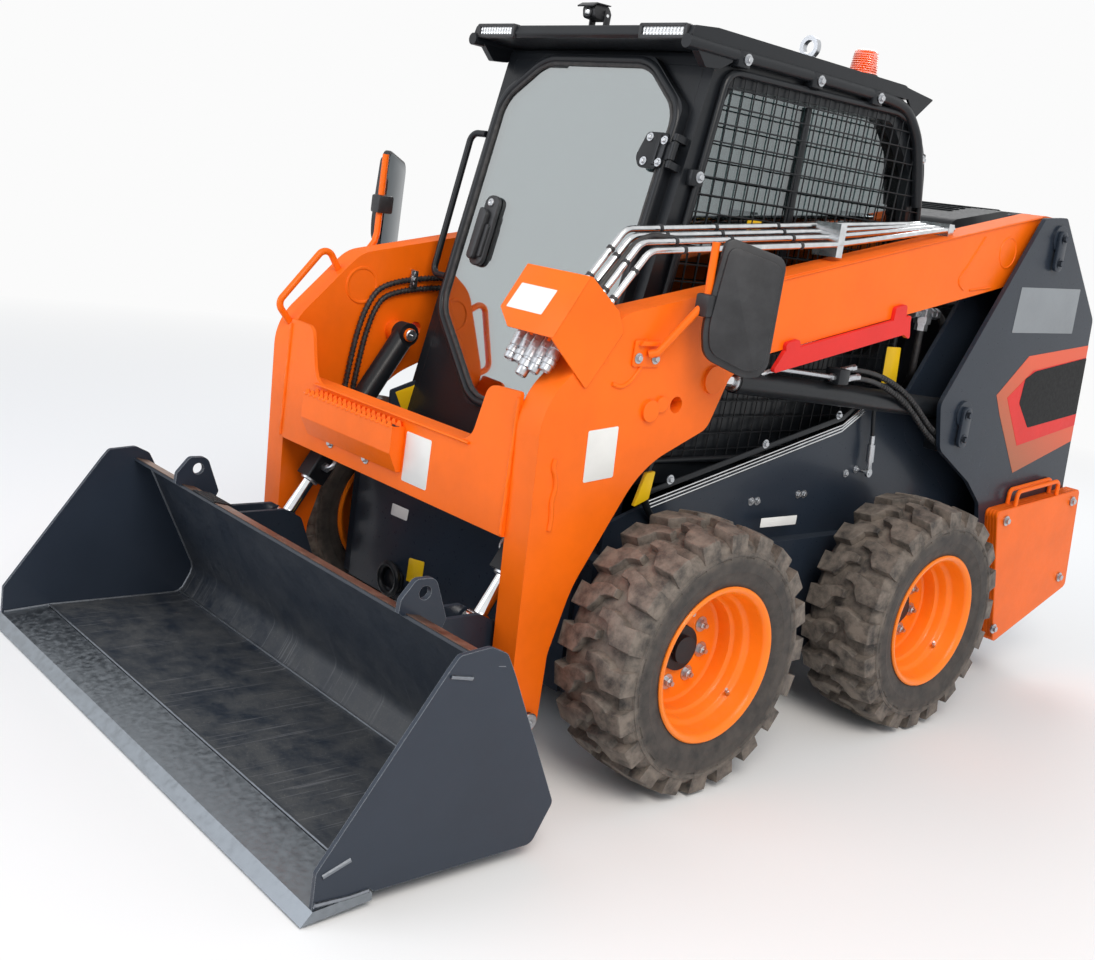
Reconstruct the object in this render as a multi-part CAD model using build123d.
from build123d import *
import math
import os

# Skid steer loader with a radial lift arm and a low-profile bucket.
# Units are millimetres. +X is the machine's left, -Y its front (the bucket), +Z is up, and the ground is Z = 0.
# Every Y below is measured from the middle of the wheelbase; MIDDLE_Y then centres the whole machine.

# --- Driving dimensions ---------------------------------------------------------------------------
WHEELBASE = 1080.0
TYRE_RADIUS = 382.0
TYRE_WIDTH = 266.0
WHEEL_CENTRE_X = 785.0
RIM_RADIUS = 226.0            # over the rim's flanges
BEAD_RADIUS = 208.0           # where the tyre's bead sits
HUB_RADIUS = 66.0

CHASSIS_HALF = 546.0          # inner face of the side plates
SIDE_PLATE = 14.0             # thickness of the chassis and tower plates
CASE_HALF = 600.0             # outer face of the chain cases
TOWER_OUTER_X = 700.0
BELLY_Z = 200.0

ARM_ROOM = 10.0               # room between a tower's inner plate and the lift arm
ARM_INNER_X = CHASSIS_HALF + SIDE_PLATE + ARM_ROOM
ARM_OUTER_X = 662.0
PIVOT_A = (1220.0, 1672.0)    # lift arm on the tower      (Y, Z)
PIVOT_B = (820.0, 1033.0)     # lift cylinder on the tower
PIVOT_C = (-470.0, 1125.0)    # lift rod's eye in the arm
PIVOT_D = (-985.0, 200.0)     # bucket mount on the arm
PIVOT_E = (-1075.0, 425.0)    # tilt rod's eye on the bucket mount
PIVOT_T = (-690.0, 1043.0)    # tilt cylinder on the arm
PIN_RADIUS = 22.0

CAB_HALF = 455.0
CAB_WALL = 38.0
DOOR_FOOT = (-674.0, 885.0)   # lower edge of the door's plane (Y, Z)
DOOR_LEAN = 12.0              # degrees that the cab's front leans back
HINGE_X = 432.0               # the door's hinge line, and how far it stands out from the door's plane
HINGE_OUT = 36.0
HOOD_HINGE = (925.0, 1405.0)  # hinge line of the engine hood (Y, Z)
HOOD_HALF = 432.0

BUCKET_HALF = 951.0
SHELL = 8.0                   # bucket sheet
SIDE_SHEET = 12.0             # bucket side plates

SEAT = 0.3                    # gap left between pieces that seat on each other
RUN = 0.06                    # radial clearance of a pin in its bore
GAP = 6.0                     # least room between moving pieces

DISC_X = 745.0                # inner face of the wheel discs
LIFT_X = 615.0                # middle of the lift cylinders
TILT_X = 505.0                # middle of the tilt cylinders
CROSS_Y = -1082.0             # front face of the arm's cross member
CAB_FLOOR_Z = 770.0
COWL_TOP_Z = 1420.0
ENGINE_Z = 430.0
ROOF_Z = 2066.0
VISOR_HALF = 480.0            # half the width of the roof and its visor
REAR_DOOR_Y = 1620.0
EYE_BORE = 20.0               # lifting eyes on the roof
EAR_BORE = 18.0               # lifting ears on the bucket

BUCKET_TIP_Y = -1814.0
REAR_END_Y = 1797.0
MIDDLE_Y = -(BUCKET_TIP_Y + REAR_END_Y) / 2

SIDES = (("left", 1), ("right", -1))
AXLES = (("front", -WHEELBASE / 2), ("rear", WHEELBASE / 2))


# --- Helpers --------------------------------------------------------------------------------------
def outline(points):
    """A closed face from (u, v) or (u, v, corner radius) points."""
    corners = [(p[0], p[1]) for p in points]
    radii = [p[2] if len(p) > 2 else 0.0 for p in points]
    return make_face(FilletPolyline(*corners, radius=radii, close=True))


def slab_x(face, low, high):
    """Extrude a (Y, Z) face across the machine, from X = low to X = high."""
    return Pos(low, 0, 0) * extrude(Plane.YZ * face, high - low)


def slab_y(face, low, high):
    """Extrude an (X, Z) face along the machine, from Y = low to Y = high."""
    return Pos(0, high, 0) * extrude(Plane.XZ * face, high - low)


def box(x, y, z):
    """A box from (low, high) pairs."""
    size = [b - a for a, b in (x, y, z)]
    middle = [(a + b) / 2 for a, b in (x, y, z)]
    return Pos(*middle) * Box(*size)


def rod_x(radius, centre, low, high):
    """A round bar across the machine about a (Y, Z) centre."""
    bar = Cylinder(radius, high - low, rotation=(0, 90, 0))
    return Pos((low + high) / 2, centre[0], centre[1]) * bar


def tube_path(points, radii, radius):
    """A bent round tube along straight runs and tangent arcs."""
    path = FilletPolyline(*points, radius=radii)
    return sweep(Plane(path @ 0, z_dir=path % 0) * Circle(radius), path)


def both_sides(solid):
    """A piece and its mirror image on the machine's right."""
    return solid + mirror(solid, Plane.YZ)


def door_plane(offset=0.0):
    """The cab's leaning front: local x is X, local y runs up the slope, z is outwards."""
    lean = math.radians(DOOR_LEAN)
    up = Vector(0, math.sin(lean), math.cos(lean))
    out = Vector(0, -math.cos(lean), math.sin(lean))
    origin = Vector(0, *DOOR_FOOT) + out * offset
    return Plane(origin, x_dir=(1, 0, 0), z_dir=out)


def strut_frame(start, end):
    """A plane at a (Y, Z) start whose z axis points at a (Y, Z) end, with local x along X."""
    along = Vector(0, end[0] - start[0], end[1] - start[1])
    return Plane((0, start[0], start[1]), x_dir=(1, 0, 0), z_dir=along)


def distance(a, b):
    return math.hypot(b[0] - a[0], b[1] - a[1])


# --- Chassis --------------------------------------------------------------------------------------
TOWER_EDGE = [                # (Y, Z, corner radius) round a tower plate
    (1104, 1732, 25), (1253, 1747, 25), (1620, 1398, 40), (1685, 764, 30), (1730, 420, 30),
    (1500, 300, 40), (1200, 300, 60), (1060, 700, 40), (952, 785, 60), (720, 907, 60), (667, 1064, 40),
]
TOWER_INSIDE = [              # the channel's hollow, open towards the front
    (400, 1950), (1360, 1950), (1360, 1622), (1600, 1390, 30), (1666, 764, 20), (1700, 440, 20),
    (1500, 322, 30), (1200, 322, 40), (1060, 660), (400, 900),
]


def main_frame():
    """Welded tub: two side plates with rising fenders, chain cases, belly, front and rear beams."""
    outer = CHASSIS_HALF + SIDE_PLATE
    side = outline([
        (-700, BELLY_Z, 30), (-700, 690, 30), (-560, 735, 30), (336, 955, 60), (471, 1057, 40),
        (760, 1100), (1100, 700), (1100, BELLY_Z),
    ])
    plate = slab_x(side, CHASSIS_HALF, outer)
    plate -= slab_x(outline(TOWER_EDGE), CHASSIS_HALF - 1, outer + 1)
    case = box((400, CASE_HALF), (-760, 760), (BELLY_Z, 600))
    rear_rail = box((400, CHASSIS_HALF), (760, 1560), (BELLY_Z + 20, 420))
    frame = both_sides(plate + case + rear_rail)
    frame += box((-401, 401), (-760, 1561), (BELLY_Z, BELLY_Z + 12))
    for bearer_y in (900, 1380):
        frame += box((-401, 401), (bearer_y, bearer_y + 60), (BELLY_Z + 11, ENGINE_Z - SEAT))
    frame += slab_y(outline([
        (-CHASSIS_HALF, BELLY_Z), (CHASSIS_HALF, BELLY_Z), (CHASSIS_HALF, 700, 40), (-CHASSIS_HALF, 700, 40),
    ]), -774, -759)
    frame += box((-CHASSIS_HALF, CHASSIS_HALF), (1560, 1690), (BELLY_Z + 20, 425))
    frame += both_sides(box((440, 500), (-640, -580), (599, CAB_FLOOR_Z - SEAT)))
    frame += both_sides(box((440, 500), (560, 620), (599, CAB_FLOOR_Z - SEAT)))
    return frame


def towers():
    """The two rear uprights: each is a plate channel, open at its front for the lift arm."""
    tower = slab_x(outline(TOWER_EDGE), CHASSIS_HALF + SEAT, TOWER_OUTER_X)
    tower -= slab_x(outline(TOWER_INSIDE), CHASSIS_HALF + SIDE_PLATE, TOWER_OUTER_X - 16)
    for centre in (PIVOT_A, PIVOT_B):
        tower += rod_x(PIN_RADIUS + 24, centre, TOWER_OUTER_X - 1, TOWER_OUTER_X + 8)
        tower -= rod_x(PIN_RADIUS + RUN, centre, CHASSIS_HALF - 1, TOWER_OUTER_X + 9)
    return both_sides(tower)


def pivot_pins():
    """The fixed pins of the lift arm and the lift cylinders, with their lock plates outside."""
    pins = Part()
    for centre in (PIVOT_A, PIVOT_B):
        pins += rod_x(PIN_RADIUS, centre, CHASSIS_HALF - 8, TOWER_OUTER_X + 14)
        strap = outline([
            (centre[0] - 22, centre[1] + 22, 20), (centre[0] + 22, centre[1] + 22, 20),
            (centre[0] + 26, centre[1] - 112, 20), (centre[0] - 20, centre[1] - 112, 20),
        ])
        pins += slab_x(strap, TOWER_OUTER_X + 8 + SEAT, TOWER_OUTER_X + 20)
    return both_sides(pins)


WEIGHT_EDGE = [(1114, 678, 22), (1732, 738, 22), (1797, 331, 22), (1294, 150, 22)]


def side_weights():
    """A stack of four steel plates bolted to each tower, with two lifting loops on top."""
    plates, thickness, groove = 4, 12.5, 1.5
    start = TOWER_OUTER_X + SEAT
    face = outline(WEIGHT_EDGE)
    inner = offset(face, -2.5)
    stack = slab_x(inner, start, start + plates * thickness)
    for number in range(plates):
        low = start + number * thickness
        stack += slab_x(face, low, low + thickness - groove)
    for loop_x in (start + 8, start + 40):
        loop = [(loop_x, 1255, 680), (loop_x, 1255, 745), (loop_x, 1560, 776), (loop_x, 1560, 710)]
        stack += tube_path(loop, [22, 22], 8)
    return both_sides(stack)


def axle_hubs():
    """Four axle housings bolted to the chain cases, each ending in the pilot that centres a wheel."""
    hub = rod_x(95, (0, 0), CASE_HALF + SEAT, 640) + rod_x(62, (0, 0), 639, DISC_X - GAP)
    hub += rod_x(HUB_RADIUS - 2 * SEAT, (0, 0), DISC_X - GAP - 1, DISC_X + 26)
    hub += rod_x(40, (0, 0), DISC_X + 25, DISC_X + 44)
    hubs = Part()
    for _, axle_y in AXLES:
        hubs += both_sides(Pos(0, axle_y, TYRE_RADIUS) * hub)
    return hubs


# --- Engine bay -----------------------------------------------------------------------------------
def engine_block():
    """The engine with its pump, as one plain mass."""
    return box((-270, 270), (880, 1480), (ENGINE_Z, 1080))


def engine_cowl():
    """Sheet shroud round the engine between the towers, open at the top and the back."""
    cowl = box((-HOOD_HALF, HOOD_HALF), (800, 1580), (425 + SEAT, COWL_TOP_Z))
    cowl -= box((-HOOD_HALF + 12, HOOD_HALF - 12), (812, 1600), (400, COWL_TOP_Z + 1))
    return cowl + both_sides(rod_x(8, HOOD_HINGE, HOOD_HALF - 5, HOOD_HALF + 14))


def engine_hood():
    """Lid over the engine bay, one pressed sheet with rounded shoulders."""
    low = COWL_TOP_Z + SEAT
    side = [(935, low), (935, 1680, 50), (1270, 1746, 90), (1500, 1758, 70), (1560, 1650, 40), (1560, low)]
    inside = [
        (947, COWL_TOP_Z), (947, 1668, 40), (1272, 1733, 80), (1494, 1745, 60), (1547, 1644, 30),
        (1547, COWL_TOP_Z),
    ]
    hood = slab_x(outline(side), -HOOD_HALF, HOOD_HALF)
    hood -= slab_x(outline(inside), -HOOD_HALF + 12, HOOD_HALF - 12)
    hinge_y, hinge_z = HOOD_HINGE
    ear = outline([
        (hinge_y - 16, hinge_z - 16, 15), (hinge_y + 16, hinge_z - 16, 15), (hinge_y + 60, 1450, 10),
        (hinge_y - 16, 1450, 20),
    ])
    strap = outline([
        (hinge_y + 12, low + 2), (hinge_y + 30, low + 2), (hinge_y + 56, 1448), (hinge_y + 12, 1448),
    ])
    ears = slab_x(ear, HOOD_HALF + SEAT, HOOD_HALF + 7) + slab_x(strap, HOOD_HALF - 4, HOOD_HALF + 7)
    ears -= rod_x(8 + RUN, HOOD_HINGE, HOOD_HALF - 5, HOOD_HALF + 14)
    return hood + both_sides(ears)


def rear_door():
    """Grilled door that closes the back of the engine bay."""
    door = box((-532, 532), (REAR_DOOR_Y - 30, REAR_DOOR_Y), (432, 1375))
    knuckle_x = -CHASSIS_HALF + 9 + SEAT
    for knuckle_z in (560, 1260):
        door += Pos(knuckle_x, REAR_DOOR_Y + 8, knuckle_z) * Cylinder(9, 80)
    door -= box((-504, 504), (REAR_DOOR_Y - 31, REAR_DOOR_Y - 3), (460, 1347))
    slots = 9
    for number in range(slots):
        low = 560 + number * 80
        door -= box((-400, 400), (REAR_DOOR_Y - 40, REAR_DOOR_Y + 10), (low, low + 40))
    return door


# --- Cab ------------------------------------------------------------------------------------------
def lean_y(z):
    """Y of the cab's leaning front at a height."""
    return DOOR_FOOT[0] + (z - DOOR_FOOT[1]) * math.tan(math.radians(DOOR_LEAN))


DOOR_EDGE = [                 # (X, distance up the slope, corner radius) round the door
    (-120, 0, 40), (120, 0, 40), (412, 262, 60), (412, 985, 60), (240, 1124, 40),
    (-240, 1124, 40), (-412, 985, 60), (-412, 262, 60),
]


DOOR_HINGES = [(330, 380), (825, 875)]    # lowest and highest point of each door knuckle, up the slope


def hinge_piece(low, high, radius):
    """A round piece on the door's hinge line, between two heights up the slope."""
    place = door_plane(HINGE_OUT) * Pos(HINGE_X, (low + high) / 2, 0) * Rot(90, 0, 0)
    return place * Cylinder(radius, high - low)


def door_block(x, up, out):
    """A box in the door's plane, from (low, high) pairs across, up the slope and outwards."""
    size = [b - a for a, b in (x, up, out)]
    middle = [(a + b) / 2 for a, b in (x, up, out)]
    return door_plane() * Pos(*middle) * Box(*size)


def cab_profile(inset=0.0):
    """Side view of the cab, with its walls moved in by an inset."""
    edge = outline([
        (lean_y(CAB_FLOOR_Z), CAB_FLOOR_Z), (lean_y(2010), 2010, 20), (480, 2026, 60), (600, 1946, 60),
        (652, 1838, 60), (704, 1624, 60), (704, CAB_FLOOR_Z),
    ])
    return offset(edge, -inset, kind=Kind.INTERSECTION) if inset else edge


def ceiling_z(y):
    """Height of the cab's ceiling, the underside of its top plate."""
    front_y = lean_y(2010)
    return 2010 - CAB_WALL + (y - front_y) * (2026 - 2010) / (480 - front_y)


def cab_shell():
    """The welded cab as one hollow body with its window openings cut. Each plate below is a part of it."""
    shell = slab_x(cab_profile(), -CAB_HALF, CAB_HALF)
    shell -= slab_x(cab_profile(CAB_WALL), -CAB_HALF + CAB_WALL, CAB_HALF - CAB_WALL)
    side_window = outline([
        (-500, 1180, 60), (-372, 1930, 60), (440, 1950, 90), (590, 1800, 60), (620, 1620, 60), (620, 1180, 60),
    ])
    shell -= slab_x(side_window, -CAB_HALF - 1, CAB_HALF + 1)
    rear_window = outline([(-330, 1300, 60), (330, 1300, 60), (330, 1800, 60), (-330, 1800, 60)])
    return shell - slab_y(rear_window, 560, 760)


def cab_plate(region):
    """The part of the cab's shell that lies inside a (Y, Z) region, between the two side plates."""
    half = CAB_HALF - CAB_WALL - SEAT
    return cab_shell() & slab_x(outline(region), -half, half)


BACK_START_Y = 440.0          # where the cab's top plate ends and its bent back begins
WALL_LOW = CAB_FLOOR_Z + CAB_WALL + SEAT


def cab_frame():
    """The cab's two side plates, each a ring round its window, and the fixed halves of the door's hinges."""
    sides = cab_shell() & both_sides(box((CAB_HALF - CAB_WALL, CAB_HALF), (-800, 800), (CAB_FLOOR_Z, ROOF_Z)))
    for low, high in DOOR_HINGES:
        for start, end in ((low - 24, low - 4), (high + 4, high + 24)):
            lug = door_block((CAB_HALF - CAB_WALL + 5, HINGE_X + 10), (start, end), (-4, HINGE_OUT))
            sides += hinge_piece(start, end, 10) + lug
        sides += hinge_piece(low - 24, high + 24, 6)
    return sides


def cab_front():
    """Leaning front plate, cut out for the door."""
    front = cab_plate([
        (-800, WALL_LOW), (-800, ceiling_z(-800) - SEAT), (0, ceiling_z(0) - SEAT), (0, WALL_LOW),
    ])
    doorway = offset(outline(DOOR_EDGE), -22)
    return front - extrude(door_plane(60) * doorway, -220)


def cab_top():
    """Top plate of the cab, under its roof skin."""
    end = BACK_START_Y
    return cab_plate([(-800, ceiling_z(-800)), (-800, 2100), (end, 2100), (end, ceiling_z(end))])


def cab_back():
    """Back plate of the cab, bent over at its top."""
    start = BACK_START_Y + SEAT
    return cab_plate([(start, WALL_LOW), (start, 2100), (800, 2100), (800, WALL_LOW)])


def cab_floor():
    """Floor plate of the cab."""
    high = CAB_FLOOR_Z + CAB_WALL
    return cab_plate([(-800, CAB_FLOOR_Z - 1), (-800, high), (800, high), (800, CAB_FLOOR_Z - 1)])


def cab_roof():
    """Roof skin with the visor that carries the lamps."""
    roof = outline([
        (lean_y(2010), 2010 + SEAT), (-568, 2020, 4), (-580, 2030, 6), (-572, 2056, 8), (-480, ROOF_Z, 30),
        (440, ROOF_Z, 40), (520, 2030, 8), (480, 2026 + SEAT),
    ])
    plate = slab_x(roof, -VISOR_HALF, VISOR_HALF)
    gusset = outline([
        (-572, 2040), (-572, 2021), (-507, 1957, 8), (-449, 1962, 8), (-401, 1989), (-401, 2040),
    ])
    plate += both_sides(slab_x(gusset, CAB_HALF + SEAT, VISOR_HALF))
    rear_lip = outline([(430, 2050), (440, 2062), (604, 2047, 2), (600, 2041, 2), (515, 2036)])
    plate += slab_x(rear_lip, -VISOR_HALF, VISOR_HALF)
    rear_gusset = outline([(440, 2050), (520, 2052), (604, 2045, 3), (524, 1978, 6), (480, 2010)])
    plate += both_sides(slab_x(rear_gusset, CAB_HALF + SEAT + 16, VISOR_HALF))
    lamp_bay = box((286, 450), (-620, -560), (2026, 2052))
    return plate - both_sides(lamp_bay)


def cab_door_frame():
    """The door's frame, a flat ring round the glass."""
    ring = outline(DOOR_EDGE) - offset(outline(DOOR_EDGE), -26)
    frame = extrude(door_plane(SEAT) * ring, 30)
    for low, high in DOOR_HINGES:
        frame += hinge_piece(low, high, 11) + door_block((384, HINGE_X), (low, high), (29, 37))
        frame -= hinge_piece(low - 30, high + 30, 6 + RUN)
    return frame


def cab_door_glass():
    """The door's single pane, seated in the frame's rebate."""
    pane = offset(outline(DOOR_EDGE), -26 - SEAT)
    return extrude(door_plane(16) * pane, 6)


def cab_door_latch():
    """Handle and lock case on the door's free edge."""
    case = outline([(-305, 425, 20), (-240, 425, 20), (-240, 655, 20), (-305, 655, 20)])
    return extrude(door_plane(22 + SEAT) * case, 40)


def side_guards():
    """Framed mesh guards over the cab's side windows."""
    edge = outline([
        (-608, 830, 40), (-405, 1975, 40), (470, 1990, 60), (594, 1930, 60), (646, 1838, 60),
        (690, 1624, 60), (690, 830, 40),
    ])
    ring = edge - offset(edge, -24)
    low = CAB_HALF + SEAT
    guard = slab_x(ring, low, low + 22)
    inside = offset(edge, -20)
    bars = Sketch()
    for number in range(15):
        y = -544 + number * 84
        bars += Pos(y, 1400) * Rectangle(5, 1300)
    guard += slab_x(bars & inside, low + 8, low + 13)
    rails = Sketch()
    for number in range(13):
        z = 918 + number * 84
        rails += Pos(60, z) * Rectangle(1400, 5)
    guard += slab_x(rails & inside, low + 13 + SEAT, low + 18)
    return both_sides(guard)


def side_windows():
    """Panes behind the side guards, seated on the cab's inner skin."""
    pane = outline([
        (-515, 1150, 40), (-365, 1950, 40), (450, 1965, 90), (605, 1810, 60), (640, 1620, 60), (640, 1150, 40),
    ])
    inner = CAB_HALF - CAB_WALL
    return both_sides(slab_x(pane, inner - SEAT - 5, inner - SEAT))


def rear_window():
    """Bent pane in the cab's back, inside the wall."""
    skin = cab_profile(CAB_WALL + SEAT) - cab_profile(CAB_WALL + SEAT + 5)
    band = Pos(650, 1555) * Rectangle(200, 550)
    return slab_x(skin & band, -350, 350)


def seat_base():
    """Pedestal that carries the seat."""
    return box((-230, 230), (-60, 480), (CAB_FLOOR_Z + CAB_WALL + SEAT, 1120))


def seat_cushion():
    """Cushion of the operator's seat, a plain closed form."""
    pad = box((-225, 225), (-90, 400), (1120 + SEAT, 1220))
    return fillet(pad.edges(), 30)


def seat_back():
    """Backrest of the operator's seat, a plain closed form."""
    side = outline([(320, 1220 + 2 * SEAT, 20), (440, 1220 + 2 * SEAT, 40), (560, 1800, 40), (470, 1810, 40)])
    return slab_x(side, -215, 215)


def control_levers():
    """Two arm rests with a joystick each, beside the seat."""
    rest = box((245, 325), (-60, 330), (1290, 1350)) + box((265, 305), (200, 300), (WALL_LOW, 1291))
    stick = Pos(285, 0, 1345) * Cylinder(9, 110, align=(Align.CENTER, Align.CENTER, Align.MIN))
    grip = Pos(285, 0, 1440) * Cylinder(24, 110, align=(Align.CENTER, Align.CENTER, Align.MIN))
    return both_sides(rest + stick + grip)


def work_lamps():
    """Two lamps in the visor's bays."""
    lamp = box((286 + SEAT, 450 - SEAT), (-576, -560 - SEAT), (2026 + SEAT, 2052 - SEAT))
    return both_sides(lamp)


def beacon():
    """Beacon on its foot."""
    lamp = Cylinder(52, 16, align=(Align.CENTER, Align.CENTER, Align.MIN))
    lamp += Pos(0, 0, 15) * Cone(46, 38, 75, align=(Align.CENTER, Align.CENTER, Align.MIN))
    return Pos(379, 336, ROOF_Z + SEAT) * lamp


def lifting_eyes():
    """Eye bolts at the roof's corners, for slinging the machine."""
    eye = Cylinder(24, 12, align=(Align.CENTER, Align.CENTER, Align.MIN))
    ring = Pos(0, 0, 44) * Rot(90, 0, 0) * (Cylinder(34, 18) - Cylinder(EYE_BORE, 20))
    eye += ring
    return both_sides(Pos(385, 42, ROOF_Z + SEAT) * eye)


def roof_camera():
    """Camera on a bracket at the roof's front edge."""
    middle = -61
    foot = box((middle - 42, middle + 42), (-475, -405), (ROOF_Z + SEAT, ROOF_Z + 8))
    stem = box((middle - 16, middle + 16), (-450, -420), (ROOF_Z + 7, ROOF_Z + 34))
    body = box((middle - 40, middle + 40), (-495, -410), (ROOF_Z + 32, ROOF_Z + 76))
    return foot + stem + body


def grab_rail():
    """Bent rod on the machine's right of the doorway."""
    path = [(-CAB_HALF + 10, -505, 1724), (-515, -510, 1724), (-515, -600, 1250), (-CAB_HALF + 10, -596, 1250)]
    rail = tube_path(path, [30, 30], 11)
    return rail - slab_x(cab_profile(-SEAT), -CAB_HALF - SEAT, CAB_HALF)


# --- Wheels ---------------------------------------------------------------------------------------
def wheel_place(side, axle_y):
    return Pos(0, axle_y, TYRE_RADIUS) if side > 0 else Pos(0, axle_y, TYRE_RADIUS) * Rot(0, 0, 180)


def tyre():
    """Tyre as a turned ring, about the X axis on the machine's left."""
    half = TYRE_WIDTH / 2
    section = outline([
        (WHEEL_CENTRE_X - half + 29, BEAD_RADIUS + SEAT, 8), (WHEEL_CENTRE_X - half, 300, 60),
        (WHEEL_CENTRE_X - half + 12, TYRE_RADIUS, 30), (WHEEL_CENTRE_X + half - 12, TYRE_RADIUS, 30),
        (WHEEL_CENTRE_X + half, 300, 60), (WHEEL_CENTRE_X + half - 29, BEAD_RADIUS + SEAT, 8),
    ])
    return revolve(Plane.XZ * section, Axis.X, 360)


def rim():
    """Stepped wheel: the rim's flanges and well, and the disc that bolts to the axle."""
    low, high = WHEEL_CENTRE_X - 128, WHEEL_CENTRE_X + 122
    section = outline([
        (low, RIM_RADIUS), (low + 8, RIM_RADIUS), (low + 12, BEAD_RADIUS), (low + 70, BEAD_RADIUS),
        (low + 90, BEAD_RADIUS - 30), (high - 90, BEAD_RADIUS - 30), (high - 70, BEAD_RADIUS),
        (high - 12, BEAD_RADIUS), (high - 8, RIM_RADIUS), (high, RIM_RADIUS), (high - 2, BEAD_RADIUS - 8),
        (high - 66, BEAD_RADIUS - 14), (high - 84, BEAD_RADIUS - 40), (DISC_X + 12, BEAD_RADIUS - 40),
        (DISC_X + 12, HUB_RADIUS), (DISC_X, HUB_RADIUS), (DISC_X, BEAD_RADIUS - 40),
        (low + 84, BEAD_RADIUS - 40), (low + 66, BEAD_RADIUS - 14), (low + 2, BEAD_RADIUS - 8),
    ])
    return revolve(Plane.XZ * section, Axis.X, 360)


# --- Lift arm -------------------------------------------------------------------------------------
ARM_EDGE = [                  # (Y, Z, corner radius) round one arm, leg first
    (-1048, 160, 50), (-1060, 420), (-1086, 1045, 180), (-850, 1290, 130), (1165, 1742, 60),
    (1300, 1740, 70), (1290, 1592, 60), (958, 1472, 200), (-241, 1206, 60), (-400, 1135, 50),
    (-462, 985, 60), (-700, 880, 300), (-893, 560, 300), (-945, 380, 100), (-946, 160, 36),
]


def arm():
    """One side of the lift arm: leg, shoulder and beam as one box, with the cylinder's pocket cut."""
    body = slab_x(outline(ARM_EDGE), ARM_INNER_X, ARM_OUTER_X)
    c_y, c_z = PIVOT_C
    pocket = outline([
        (c_y - 60, 880), (c_y - 60, c_z + 20, 30), (c_y + 10, c_z + 66, 30), (c_y + 240, c_z + 130, 10),
        (c_y + 360, c_z - 60), (c_y + 20, 820),
    ])
    body -= slab_x(pocket, LIFT_X - 31, LIFT_X + 31)
    body -= rod_x(PIN_RADIUS + RUN, PIVOT_A, ARM_INNER_X - 1, ARM_OUTER_X + 1)
    body -= rod_x(PIN_RADIUS + RUN, PIVOT_D, ARM_INNER_X - 1, ARM_OUTER_X + 1)
    body += rod_x(PIN_RADIUS, PIVOT_T, TILT_X - 34, ARM_INNER_X + 4)
    body += rod_x(36, PIVOT_T, TILT_X + 27, ARM_INNER_X + 4)
    for low, high in ((ARM_INNER_X - 8, ARM_INNER_X + 1), (ARM_OUTER_X - 1, ARM_OUTER_X + 10)):
        washer = rod_x(44, PIVOT_A, low, high) - rod_x(PIN_RADIUS + RUN, PIVOT_A, low - 1, high + 1)
        body += washer
    body += rod_x(40, PIVOT_C, ARM_OUTER_X - 1, ARM_OUTER_X + 9)
    body += rod_x(30, (-706, 1037), ARM_OUTER_X - 1, ARM_OUTER_X + 9)
    body += rod_x(22, (-664, 1055), ARM_OUTER_X - 1, ARM_OUTER_X + 7)
    body -= rod_x(23, (-604, 1053), ARM_INNER_X - 1, ARM_OUTER_X + 1)
    return body


def cross_member():
    """Front beam between the arms, a folded plate box with gussets that rise to the legs."""
    half = ARM_INNER_X - SEAT
    front = outline([
        (-half, 684), (half, 684), (half, 1065, 10), (440, 1060, 40), (392, 894, 60),
        (-392, 894, 60), (-440, 1060, 40), (-half, 1065, 10),
    ])
    beam = slab_y(front, CROSS_Y, CROSS_Y + 12)
    fold = outline([
        (CROSS_Y, 684), (CROSS_Y + 90, 684), (CROSS_Y + 90, 894, 20), (CROSS_Y, 894, 20),
    ])
    hollow = outline([
        (CROSS_Y + 12, 696), (CROSS_Y + 78, 696), (CROSS_Y + 78, 882, 8), (CROSS_Y + 12, 882, 8),
    ])
    return beam + slab_x(fold, -half, half) - slab_x(hollow, -half - 1, half + 1)


def step():
    """Serrated tread bracket on the right half of the front beam."""
    side = outline([
        (CROSS_Y - SEAT, 735), (CROSS_Y - 14, 735), (CROSS_Y - 44, 790, 10), (CROSS_Y - 44, 866, 6),
        (CROSS_Y - SEAT, 866),
    ])
    return slab_x(side, -383, 100)


BLOCK_EDGE = [                # (Y, Z, corner radius) round the coupler block's cover
    (-993, 1379, 8), (-880, 1296, 8), (-851, 1244, 8), (-955, 1093, 8), (-1094, 1217, 8),
]
BLOCK_INSIDE = [              # its hollow, open at the lower front where the couplers come out
    (-993, 1372, 6), (-885, 1292, 6), (-858, 1243, 6), (-960, 1080), (-1110, 1205),
]
BLOCK_FAR_X = 424.0           # the cover's far cheek


def coupler_block():
    """Folded sheet cover on the left arm's shoulder, over five screw couplers on their bulkhead."""
    near = ARM_OUTER_X + 6
    cover = slab_x(outline(BLOCK_EDGE), BLOCK_FAR_X, near)
    cover -= slab_x(outline(BLOCK_INSIDE), BLOCK_FAR_X + 5, near - 5)
    chamfer = make_face(Polyline(
        (BLOCK_FAR_X - 1, 1262), (BLOCK_FAR_X - 1, 1000), (505, 1000), (505, 1206), close=True,
    ))
    cover -= slab_y(chamfer, -1200, -800)
    bulkhead = outline([(-1050, 1240), (-1038, 1252), (-885, 1170), (-897, 1158)])
    cover += slab_x(bulkhead, BLOCK_FAR_X + 1, near - 4)
    for number in range(5):
        start = Plane((468 + number * 36, -1000, 1222), z_dir=(0, -0.5, -0.87))
        cover += extrude(start * Circle(12), 100) + extrude(start * Circle(17), 66)
    return cover - slab_x(offset(outline(ARM_EDGE), SEAT), ARM_INNER_X - SEAT, ARM_OUTER_X + SEAT)


LINES = [                     # (X, drop below the highest line) of the tubes along the left arm
    (528, 0), (554, 16), (592, 28), (628, 46),
]


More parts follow.
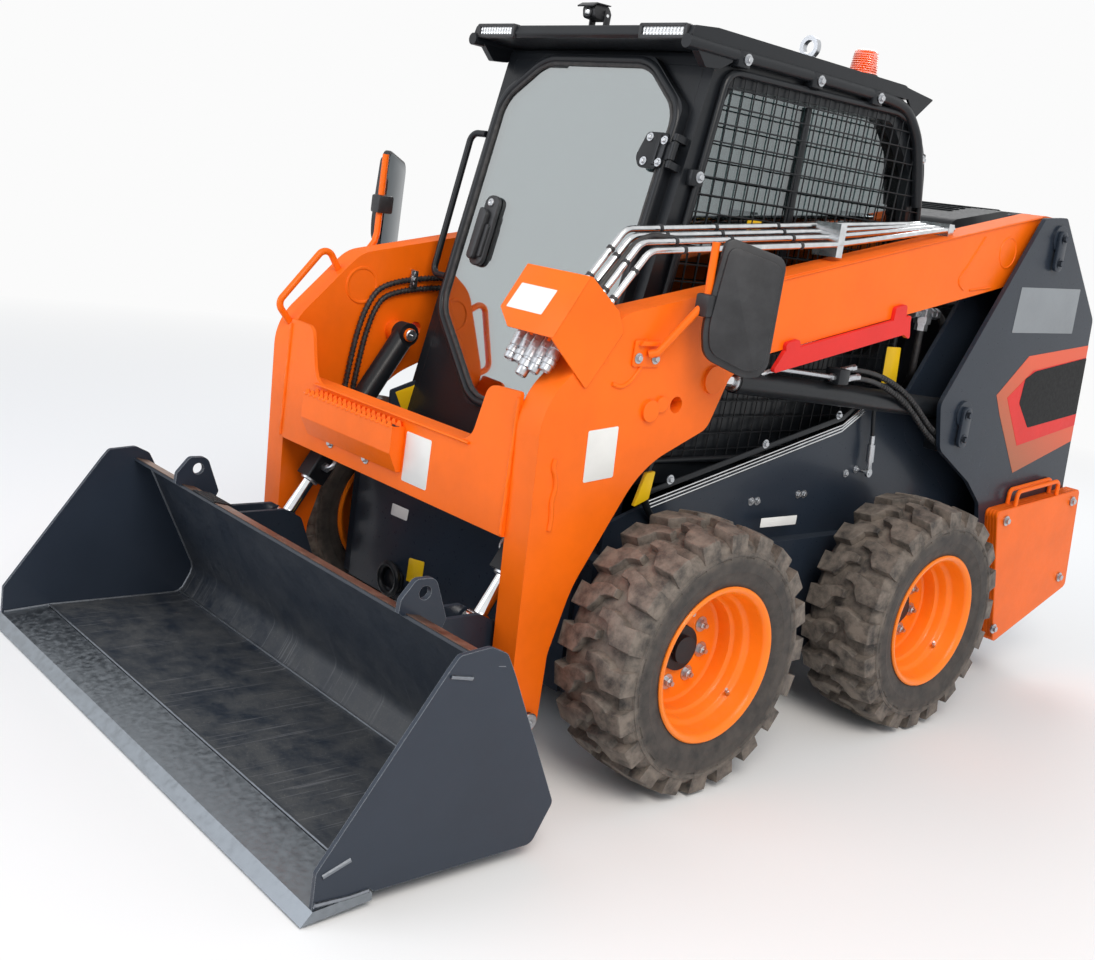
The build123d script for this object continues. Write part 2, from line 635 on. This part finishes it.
def steel_lines():
    """Four hydraulic tubes from the coupler block back along the left arm, tied by two clamps."""
    tubes = Part()
    for x, drop in LINES:
        path = [(x, -930, 1290 - drop), (x, -762, 1499 - drop), (x, 24, 1584 - drop), (x, 640, 1648 - drop / 8)]
        tubes += tube_path(path, [55, 300], 9)
    tubes += slab_x(outline([(20, 1500), (50, 1500), (50, 1600), (20, 1600)]), 546, 636)
    tubes += slab_x(outline([(600, 1600), (630, 1600), (630, 1656), (600, 1656)]), 520, 638)
    tubes -= slab_x(offset(outline(BLOCK_EDGE), SEAT), BLOCK_FAR_X, ARM_OUTER_X + 6)
    return tubes - slab_x(offset(outline(ARM_EDGE), SEAT), ARM_INNER_X - SEAT, ARM_OUTER_X)


def arm_handle():
    """Bent grab rod on the right arm's front shoulder."""
    path = [(-610, -890, 1200), (-610, -958, 1302), (-610, -1116, 1105), (-610, -1040, 1020)]
    rod = tube_path(path, [30, 30], 11)
    return rod - slab_x(offset(outline(ARM_EDGE), SEAT), -ARM_OUTER_X, -ARM_INNER_X)


MIRROR_EDGE = [               # (across, up, corner radius) round a mirror's head
    (-75, 190, 45), (96, 152, 45), (94, -150, 45), (45, -178, 45), (-86, -132, 45), (-102, -55, 60),
]
MIRROR_TURN = (0.83, -0.55)   # (X, Y) that the left mirror's back faces
STALKS = [                    # (side, middle of the head, place and lowest point of the upright stalk)
    (1, (775, -540, 1330), (730, -628, 1345)), (-1, (775, -615, 1444), (715, -705, 1340)),
]


def mirrors():
    """Two mirrors on bent stalks, each bolted to an arm's shoulder by a foot plate."""
    both = Part()
    for side, head, stalk in STALKS:
        back_x, back_y = MIRROR_TURN
        plane = Plane(head, x_dir=(-back_y, back_x, 0), z_dir=(back_x, back_y, 0))
        mirror_one = extrude(plane * outline(MIRROR_EDGE), 36)
        x, y, z = stalk
        start = ARM_OUTER_X + 14
        path = [(start, y - 130, 1190), (start + 18, y - 112, 1198), (x, y, z), (x, y, head[2] + 170)]
        mirror_one += tube_path(path, [12, 40], 14)
        foot = box((ARM_OUTER_X + SEAT, ARM_OUTER_X + 16), (y - 175, y - 75), (1155, 1225))
        mirror_one += foot
        both += mirror_one if side > 0 else mirror(mirror_one, Plane.YZ)
    return both


TILT_HOSES = [                # (Y, Z) runs of the two tilt hoses along each arm's inner face, outer hose first
    [(-880, 690), (-868, 850), (-832, 1110), (-745, 1222), (-470, 1236)],
    [(-846, 690), (-836, 850), (-800, 1095), (-728, 1188), (-470, 1202)],
]
HOSE_RADIUS = 8.0
TILT_HOSE_X = 558.0


def tilt_hoses():
    """Two hoses along each arm's inner face, held by a block at each end and one clip."""
    held = Part()
    for run in TILT_HOSES:
        held += tube_path([(TILT_HOSE_X, y, z) for y, z in run], [150, 180, 120], HOSE_RADIUS)
    face = ARM_INNER_X - SEAT
    held += box((549, face), (-905, -822), (662, 706))
    held += box((549, face), (-662, -634), (1192, 1248))
    held += box((549, face), (-490, -455), (1186, 1252))
    return both_sides(held)


LIFT_HOSES = [                # (X, Y, Z) runs of the two lift hoses from each barrel's port block to its base
    [(640, 120, 1152), (646, 190, 1168), (668, 330, 1154), (668, 520, 1086), (668, 700, 962), (668, 784, 932)],
    [(664, 120, 1134), (666, 200, 1144), (668, 330, 1128), (668, 510, 1062), (668, 690, 938), (668, 784, 906)],
]


def lift_hoses():
    """Two hoses beside each lift cylinder, from the block on its barrel back to the bracket near its pin."""
    held = Part()
    for run in LIFT_HOSES:
        held += tube_path(run, [60, 200, 200, 100], HOSE_RADIUS)
    held += box((622, 678), (96, 150), (1120.5, 1168))
    held += box((600, 678), (774, 796), (892, 998.3))
    return both_sides(held)


def support_bar():
    """Lift arm support, the red strut stowed along the left arm's lower edge."""
    bar = outline([(-235, 1148, 8), (-190, 1216, 8), (425, 1352, 8), (425, 1330), (440, 1272, 8), (400, 1288)])
    lugs = outline([(330, 1300), (330, 1372, 12), (390, 1386, 12), (400, 1310)])
    lugs += outline([(-180, 1180), (-190, 1240, 12), (-130, 1254, 12), (-110, 1190)])
    return slab_x(bar + lugs, ARM_OUTER_X + SEAT, ARM_OUTER_X + 14)


# --- Bucket and its mount ---------------------------------------------------------------------------
BACK_LOW, BACK_HIGH = (-1144, 130), (-1338, 510)    # middle of the back sheet (Y, Z)
SIDE_EDGE = [                 # (Y, Z, corner radius) round a bucket side plate
    (-1788, 34), (-1788, 119, 10), (-1504, 527, 60), (-1480, 558, 20), (-1392, 566, 30), (-1344, 544, 20),
    (-1312, 488, 20), (-1132, 134, 20), (-1184, 36, 30), (-1634, 36), (-1644, 44.5),
]


SHELL_LINE = [(-1640, 40), (-1192, 40), BACK_LOW, BACK_HIGH, (-1392, 522)]    # middle of the bent sheet


def shell_section(thickness):
    """The bent sheet's side view: floor, heel, back and the folded lip."""
    return trace(FilletPolyline(*SHELL_LINE, radius=[40, 50, 12]), thickness)


def bucket_shell():
    """Bent sheet between the side plates."""
    half = BUCKET_HALF - SIDE_SHEET - SEAT
    return slab_x(shell_section(SHELL), -half, half)


def bucket_sides():
    """Two side plates with rounded tops."""
    plate = slab_x(outline(SIDE_EDGE), BUCKET_HALF - SIDE_SHEET, BUCKET_HALF)
    return both_sides(plate)


def cutting_edge():
    """Thick base edge across the mouth."""
    edge = outline([(BUCKET_TIP_Y, 5), (-1640, 19), (-1640, 35.7), (-1646, 44), (-1788, 33.7)])
    return slab_x(edge, -BUCKET_HALF - 4, BUCKET_HALF + 4)


def behind_back(along, behind):
    """A point so far up the bucket's back from its fold, and so far behind its middle."""
    rise = distance(BACK_LOW, BACK_HIGH)
    lean, climb = (BACK_HIGH[0] - BACK_LOW[0]) / rise, (BACK_HIGH[1] - BACK_LOW[1]) / rise
    return (BACK_LOW[0] + along * lean + behind * climb, BACK_LOW[1] + along * climb - behind * lean)


def quick_attach():
    """Bucket mount: a leaning plate with ears for the arm pins and the tilt rods."""
    front, rear = SHELL / 2 + SEAT, SHELL / 2 + 16
    corners = [behind_back(30, front), behind_back(30, rear), behind_back(390, rear), behind_back(390, front)]
    plate = slab_x(outline(corners), -553, 553)
    ear = outline([
        behind_back(20, rear - 1), (-950, 158, 36), (-950, 235, 30), (-1040, 440, 30), (-1100, 470, 30),
        behind_back(370, rear - 1),
    ])
    mount = plate
    for low in (TILT_X - 48, TILT_X + 32):
        mount += both_sides(slab_x(ear, low, low + 16))
    pin = rod_x(PIN_RADIUS, PIVOT_D, TILT_X + 33, ARM_OUTER_X + 14)
    mount += both_sides(pin)
    return mount


def bucket_ears():
    """Lifting ears on the bucket's lip."""
    ear = outline([
        (-1410, 530), (-1408, 563, 20), (-1368, 612, 20), (-1310, 612, 30), (-1262, 500, 10), (-1290, 440),
    ])
    hole = Pos(-1338, 575) * Circle(EAR_BORE)
    ears = slab_x(ear - hole, 600, 616)
    ears -= slab_x(shell_section(SHELL + 2 * SEAT), 500, 700)
    ears -= slab_x(outline(SHELL_LINE + [(-1500, 522)]), 500, 700)
    return both_sides(ears)


# --- Cylinders --------------------------------------------------------------------------------------
def cylinder_barrel(x, base, rod_eye, radius, length, eye_width, bore, head=0.0):
    """A cylinder's barrel with its base eye, bored for its rod, from its base pin towards the rod's eye.
    A head gives it a square gland block that long at the rod's end."""
    frame = strut_frame(base, rod_eye)
    eye = rod_x(radius, base, x - eye_width / 2, x + eye_width / 2)
    tube = Pos(x, 0, 0) * extrude(frame * Circle(radius), length - head)
    if head:
        gland = RectangleRounded(2 * radius - 4, 2 * radius - 4, 6)
        tube += Pos(x, 0, 0) * extrude(offset_plane(frame, length - head - 1) * gland, head + 1)
    tube -= rod_x(radius + 1, base, x - 100, x - eye_width / 2)
    tube -= rod_x(radius + 1, base, x + eye_width / 2, x + 100)
    barrel = tube + eye - rod_x(PIN_RADIUS + RUN, base, x - 100, x + 100)
    return barrel - Pos(x, 0, 0) * extrude(offset_plane(frame, radius + 4) * Circle(bore + RUN), length)


def cylinder_rod(x, base, rod_eye, bar_radius, eye_radius, eye_width, start):
    """A rod with its eye, from so far inside the barrel to its own pin."""
    frame = strut_frame(base, rod_eye)
    reach = distance(base, rod_eye)
    bar = Pos(x, 0, 0) * extrude(offset_plane(frame, start) * Circle(bar_radius), reach - start)
    return bar + rod_x(eye_radius, rod_eye, x - eye_width / 2, x + eye_width / 2)


def offset_plane(plane, distance_along):
    return Plane(plane.origin + plane.z_dir * distance_along, x_dir=plane.x_dir, z_dir=plane.z_dir)


ROD_RADIUS = 20.0
EYE_RADIUS = 34.0


def lift_barrels():
    return both_sides(cylinder_barrel(LIFT_X, PIVOT_B, PIVOT_C, 36, 1150, 56, ROD_RADIUS))


def lift_rods():
    return both_sides(cylinder_rod(LIFT_X, PIVOT_B, PIVOT_C, ROD_RADIUS, EYE_RADIUS, 50, 100))


def tilt_barrels():
    return both_sides(cylinder_barrel(TILT_X, PIVOT_T, PIVOT_E, 38, 575, 50, ROD_RADIUS, head=130))


def tilt_rods():
    return both_sides(cylinder_rod(TILT_X, PIVOT_T, PIVOT_E, ROD_RADIUS, EYE_RADIUS, 50, 150))


# --- Assembly ---------------------------------------------------------------------------------------
PARTS = {
    "main_frame": main_frame, "towers": towers, "pivot_pins": pivot_pins, "side_weights": side_weights,
    "axle_hubs": axle_hubs, "engine_block": engine_block, "engine_cowl": engine_cowl,
    "engine_hood": engine_hood, "rear_door": rear_door, "cab_frame": cab_frame, "cab_front": cab_front,
    "cab_top": cab_top, "cab_back": cab_back, "cab_floor": cab_floor, "cab_roof": cab_roof,
    "cab_door_frame": cab_door_frame, "cab_door_glass": cab_door_glass, "cab_door_latch": cab_door_latch,
    "side_guards": side_guards, "side_windows": side_windows, "rear_window": rear_window,
    "seat_base": seat_base, "seat_cushion": seat_cushion, "seat_back": seat_back,
    "control_levers": control_levers, "work_lamps": work_lamps, "beacon": beacon,
    "lifting_eyes": lifting_eyes, "roof_camera": roof_camera, "grab_rail": grab_rail,
    "left_arm": arm, "right_arm": lambda: mirror(arm(), Plane.YZ), "cross_member": cross_member,
    "step": step, "coupler_block": coupler_block, "steel_lines": steel_lines, "arm_handle": arm_handle,
    "mirrors": mirrors, "tilt_hoses": tilt_hoses, "lift_hoses": lift_hoses, "support_bar": support_bar,
    "quick_attach": quick_attach,
    "bucket_shell": bucket_shell, "bucket_sides": bucket_sides, "cutting_edge": cutting_edge,
    "bucket_ears": bucket_ears, "lift_barrels": lift_barrels, "lift_rods": lift_rods,
    "tilt_barrels": tilt_barrels, "tilt_rods": tilt_rods,
}

os.makedirs("parts", exist_ok=True)
for name, make in PARTS.items():
    export_step(Pos(0, MIDDLE_Y, 0) * make(), f"parts/{name}.step")
for side_name, side in SIDES:
    for axle_name, axle_y in AXLES:
        place = Pos(0, MIDDLE_Y, 0) * wheel_place(side, axle_y)
        export_step(place * tyre(), f"parts/tyre_{axle_name}_{side_name}.step")
        export_step(place * rim(), f"parts/wheel_{axle_name}_{side_name}.step")
